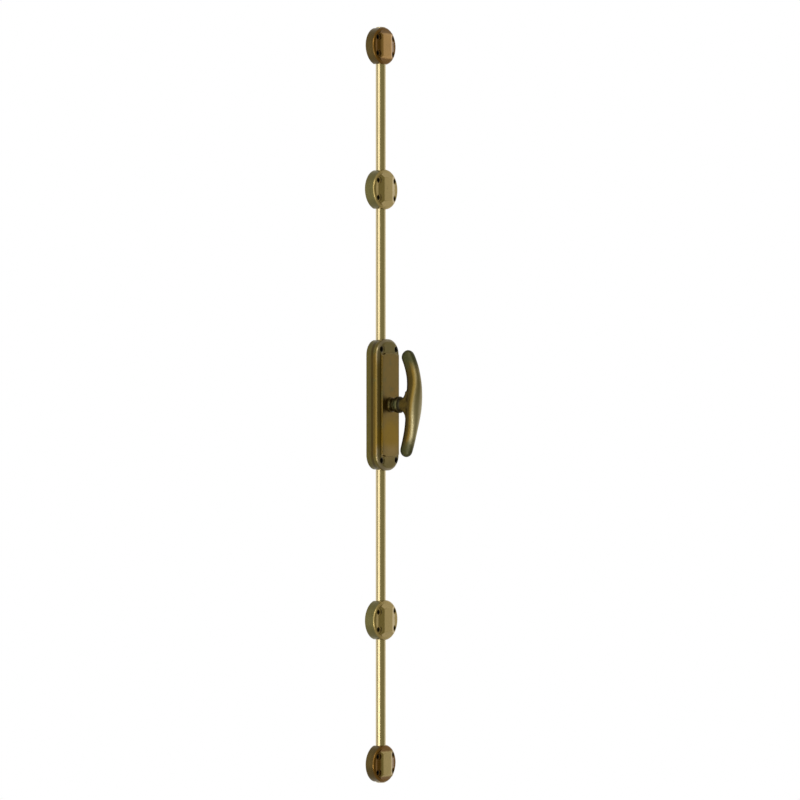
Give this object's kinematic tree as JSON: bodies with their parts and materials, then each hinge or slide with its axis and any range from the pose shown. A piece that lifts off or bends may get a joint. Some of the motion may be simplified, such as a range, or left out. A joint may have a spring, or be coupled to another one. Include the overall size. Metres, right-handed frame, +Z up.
{
  "type": "cremone bolt",
  "caption": "Surface cremone bolt in antique brass: a crescent handle on a slim case throws an upper and a lower round rod through round guides.",
  "frame": {"origin": "on the door's face behind the spindle, in the middle of the case's fixing holes", "axes": "+Z up along the rods, +Y into the door, so the handle faces -Y, and +X to the right from the front"},
  "size_m": [0.05, 0.0688, 0.9476],
  "materials": {
    "antique_brass": "antique, dark wax in recesses",
    "rod_brass": "antique, drawn and polished",
    "bearing_bronze": "machined, oiled",
    "plated_steel": "zinc plated",
    "spring_steel": "oil blackened"
  },
  "bodies": {
    "mounting": {"case_shell": "antique_brass", "back_plate": "plated_steel", "back_plate_screws": "plated_steel", "front_bush": "antique_brass", "rear_bush": "bearing_bronze", "upper_end_guide": "antique_brass", "upper_guide": "antique_brass", "lower_guide": "antique_brass", "lower_end_guide": "antique_brass"},
    "turning_handle": {"handle": "antique_brass", "spindle": "plated_steel", "pinion": "bearing_bronze", "pinion_key": "spring_steel", "retaining_ring": "spring_steel", "disc_spring": "spring_steel", "thrust_washer": "bearing_bronze", "handle_set_screw": "spring_steel"},
    "upper_bolt": {"upper_rod": "rod_brass", "upper_rack": "bearing_bronze", "upper_rod_stud": "plated_steel", "upper_joint_pin": "spring_steel"},
    "lower_bolt": {"lower_rod": "rod_brass", "lower_rack": "bearing_bronze", "lower_rod_stud": "plated_steel", "lower_joint_pin": "spring_steel"}
  },
  "joints": [
    {"name": "handle_turn", "type": "hinge", "parent": "mounting", "child": "turning_handle", "pos_m": [0, 0, 0], "axis": [0, 1, 0], "range_deg": [0, 90]},
    {"name": "upper_rod_slide", "type": "slide", "parent": "mounting", "child": "upper_bolt", "axis": [0, 0, 1], "range_m": [0, 0.01885]},
    {"name": "lower_rod_slide", "type": "slide", "parent": "mounting", "child": "lower_bolt", "axis": [0, 0, -1], "range_m": [0, 0.01885]}
  ],
  "couplings": [
    {"joint": "upper_rod_slide", "follows": "handle_turn", "m_per_rad": 0.012},
    {"joint": "lower_rod_slide", "follows": "handle_turn", "m_per_rad": 0.012}
  ]
}
